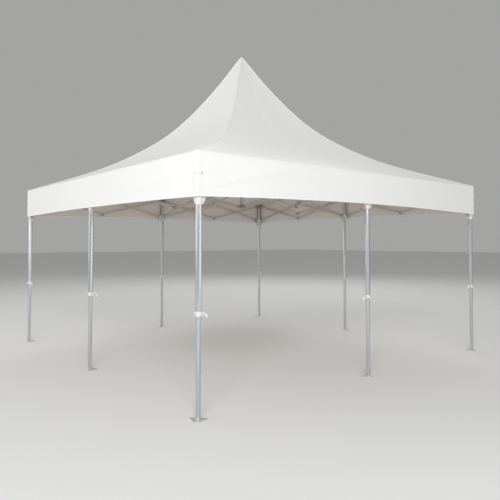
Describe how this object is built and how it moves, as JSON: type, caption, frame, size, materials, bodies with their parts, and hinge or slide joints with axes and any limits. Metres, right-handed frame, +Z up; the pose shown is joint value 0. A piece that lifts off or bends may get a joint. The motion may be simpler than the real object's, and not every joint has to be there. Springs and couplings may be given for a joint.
{
  "type": "pop-up canopy tent",
  "caption": "Pop-up canopy tent with a peaked square fabric roof, deep valances, a scissor frame round a centre mast, and telescopic legs with lever clamps and foot plates.",
  "frame": {"origin": "on the ground under the centre mast, at the middle of the object's box", "axes": "+Z up, +X along the front side to the right, the front valance faces -Y"},
  "size_m": [5.0854, 5.1092, 4.5438],
  "materials": {
    "leg_aluminium": "satin anodised",
    "truss_aluminium": "satin anodised",
    "bracket_plastic": "moulded matte",
    "lever_plastic": "moulded matte",
    "roof_fabric": "coated woven",
    "valance_fabric": "coated woven"
  },
  "bodies": {
    "root": {"upper_leg_front_left": "leg_aluminium", "leg_slider_front_left": "bracket_plastic", "leg_clamp_front_left": "bracket_plastic", "upper_leg_front_middle": "leg_aluminium", "leg_slider_front_middle": "bracket_plastic", "leg_clamp_front_middle": "bracket_plastic", "upper_leg_front_right": "leg_aluminium", "leg_slider_front_right": "bracket_plastic", "leg_clamp_front_right": "bracket_plastic", "upper_leg_right_middle": "leg_aluminium", "leg_slider_right_middle": "bracket_plastic", "leg_clamp_right_middle": "bracket_plastic", "upper_leg_back_right": "leg_aluminium", "leg_slider_back_right": "bracket_plastic", "leg_clamp_back_right": "bracket_plastic", "upper_leg_back_middle": "leg_aluminium", "leg_slider_back_middle": "bracket_plastic", "leg_clamp_back_middle": "bracket_plastic", "upper_leg_back_left": "leg_aluminium", "leg_slider_back_left": "bracket_plastic", "leg_clamp_back_left": "bracket_plastic", "upper_leg_left_middle": "leg_aluminium", "leg_slider_left_middle": "bracket_plastic", "leg_clamp_left_middle": "bracket_plastic", "side_truss_front_left_to_front_middle": "truss_aluminium", "side_truss_front_middle_to_front_right": "truss_aluminium", "side_truss_front_right_to_right_middle": "truss_aluminium", "side_truss_right_middle_to_back_right": "truss_aluminium", "side_truss_back_right_to_back_middle": "truss_aluminium", "side_truss_back_middle_to_back_left": "truss_aluminium", "side_truss_back_left_to_left_middle": "truss_aluminium", "side_truss_left_middle_to_front_left": "truss_aluminium", "inner_truss_front_middle": "truss_aluminium", "inner_truss_right_middle": "truss_aluminium", "inner_truss_back_middle": "truss_aluminium", "inner_truss_left_middle": "truss_aluminium", "centre_mast": "leg_aluminium", "mast_upper_hub": "bracket_plastic", "mast_lower_hub": "bracket_plastic", "roof_panel_front": "roof_fabric", "roof_panel_right": "roof_fabric", "roof_panel_back": "roof_fabric", "roof_panel_left": "roof_fabric", "valance": "valance_fabric"},
    "lower_leg_front_left": {"lower_leg_front_left": "leg_aluminium"},
    "lower_leg_front_middle": {"lower_leg_front_middle": "leg_aluminium"},
    "lower_leg_front_right": {"lower_leg_front_right": "leg_aluminium"},
    "lower_leg_right_middle": {"lower_leg_right_middle": "leg_aluminium"},
    "lower_leg_back_right": {"lower_leg_back_right": "leg_aluminium"},
    "lower_leg_back_middle": {"lower_leg_back_middle": "leg_aluminium"},
    "lower_leg_back_left": {"lower_leg_back_left": "leg_aluminium"},
    "lower_leg_left_middle": {"lower_leg_left_middle": "leg_aluminium"},
    "clamp_lever_front_left": {"clamp_lever_front_left": "lever_plastic"},
    "clamp_lever_front_middle": {"clamp_lever_front_middle": "lever_plastic"},
    "clamp_lever_front_right": {"clamp_lever_front_right": "lever_plastic"},
    "clamp_lever_right_middle": {"clamp_lever_right_middle": "lever_plastic"},
    "clamp_lever_back_right": {"clamp_lever_back_right": "lever_plastic"},
    "clamp_lever_back_middle": {"clamp_lever_back_middle": "lever_plastic"},
    "clamp_lever_back_left": {"clamp_lever_back_left": "lever_plastic"},
    "clamp_lever_left_middle": {"clamp_lever_left_middle": "lever_plastic"}
  },
  "joints": [
    {"name": "leg_slide_front_left", "type": "slide", "parent": "root", "child": "lower_leg_front_left", "axis": [0, 0, 1], "range_m": [0, 0.9]},
    {"name": "leg_slide_front_middle", "type": "slide", "parent": "root", "child": "lower_leg_front_middle", "axis": [0, 0, 1], "range_m": [0, 0.9]},
    {"name": "leg_slide_front_right", "type": "slide", "parent": "root", "child": "lower_leg_front_right", "axis": [0, 0, 1], "range_m": [0, 0.9]},
    {"name": "leg_slide_right_middle", "type": "slide", "parent": "root", "child": "lower_leg_right_middle", "axis": [0, 0, 1], "range_m": [0, 0.9]},
    {"name": "leg_slide_back_right", "type": "slide", "parent": "root", "child": "lower_leg_back_right", "axis": [0, 0, 1], "range_m": [0, 0.9]},
    {"name": "leg_slide_back_middle", "type": "slide", "parent": "root", "child": "lower_leg_back_middle", "axis": [0, 0, 1], "range_m": [0, 0.9]},
    {"name": "leg_slide_back_left", "type": "slide", "parent": "root", "child": "lower_leg_back_left", "axis": [0, 0, 1], "range_m": [0, 0.9]},
    {"name": "leg_slide_left_middle", "type": "slide", "parent": "root", "child": "lower_leg_left_middle", "axis": [0, 0, 1], "range_m": [0, 0.9]},
    {"name": "lever_pivot_front_left", "type": "hinge", "parent": "root", "child": "clamp_lever_front_left", "pos_m": [-2.407, -2.46, 0.955], "axis": [0, -1, 0], "range_deg": [0, 90]},
    {"name": "lever_pivot_front_middle", "type": "hinge", "parent": "root", "child": "clamp_lever_front_middle", "pos_m": [-0.053, -2.46, 0.955], "axis": [0, 1, 0], "range_deg": [0, 90]},
    {"name": "lever_pivot_front_right", "type": "hinge", "parent": "root", "child": "clamp_lever_front_right", "pos_m": [2.407, -2.46, 0.955], "axis": [0, 1, 0], "range_deg": [0, 90]},
    {"name": "lever_pivot_right_middle", "type": "hinge", "parent": "root", "child": "clamp_lever_right_middle", "pos_m": [2.46, -0.053, 0.955], "axis": [-1, 0, 0], "range_deg": [0, 90]},
    {"name": "lever_pivot_back_right", "type": "hinge", "parent": "root", "child": "clamp_lever_back_right", "pos_m": [2.46, 2.407, 0.955], "axis": [-1, 0, 0], "range_deg": [0, 90]},
    {"name": "lever_pivot_back_middle", "type": "hinge", "parent": "root", "child": "clamp_lever_back_middle", "pos_m": [0, 2.407, 0.955], "axis": [-1, 0, 0], "range_deg": [0, 90]},
    {"name": "lever_pivot_back_left", "type": "hinge", "parent": "root", "child": "clamp_lever_back_left", "pos_m": [-2.46, 2.407, 0.955], "axis": [-1, 0, 0], "range_deg": [0, 90]},
    {"name": "lever_pivot_left_middle", "type": "hinge", "parent": "root", "child": "clamp_lever_left_middle", "pos_m": [-2.407, 0, 0.955], "axis": [0, -1, 0], "range_deg": [0, 90]}
  ]
}
